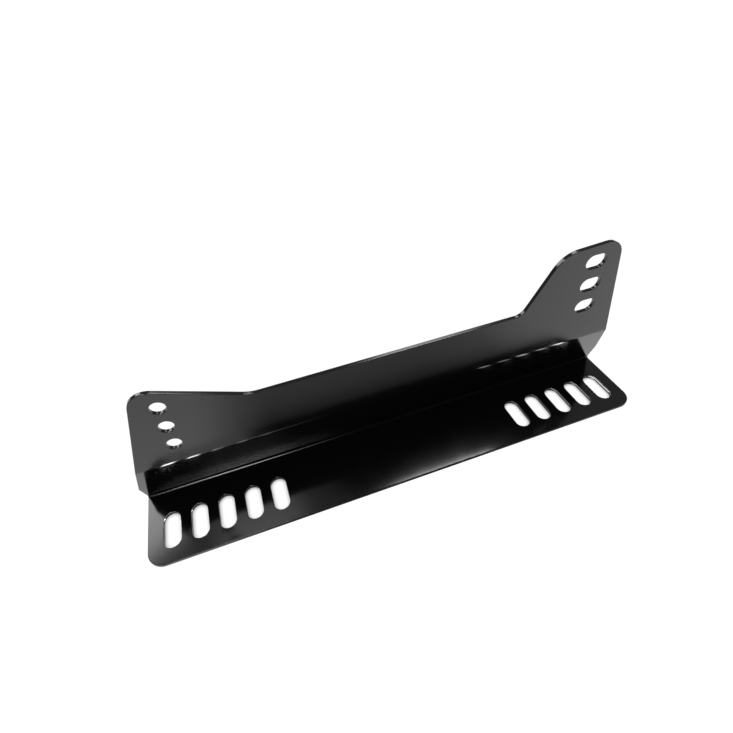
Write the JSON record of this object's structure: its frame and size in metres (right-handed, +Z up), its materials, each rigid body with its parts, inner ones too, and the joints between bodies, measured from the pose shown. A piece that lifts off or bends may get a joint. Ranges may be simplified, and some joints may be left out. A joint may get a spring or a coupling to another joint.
{
  "type": "seat bracket",
  "caption": "Side bracket for a bucket seat: a folded black steel sheet with a slotted floor flange, a leaning wall and an upright plate with drilled lugs.",
  "frame": {"origin": "underside of the floor flange, at mid length on the centre line of the floor slots", "axes": "+X along the bracket to its tall lug, +Y back from the flange's front edge to the plate, +Z up"},
  "size_m": [0.4, 0.062, 0.1369],
  "materials": {
    "black_coat": "semi-gloss black powder coat on steel"
  },
  "bodies": {
    "root": {"side_bracket": "black_coat"}
  },
  "joints": []
}
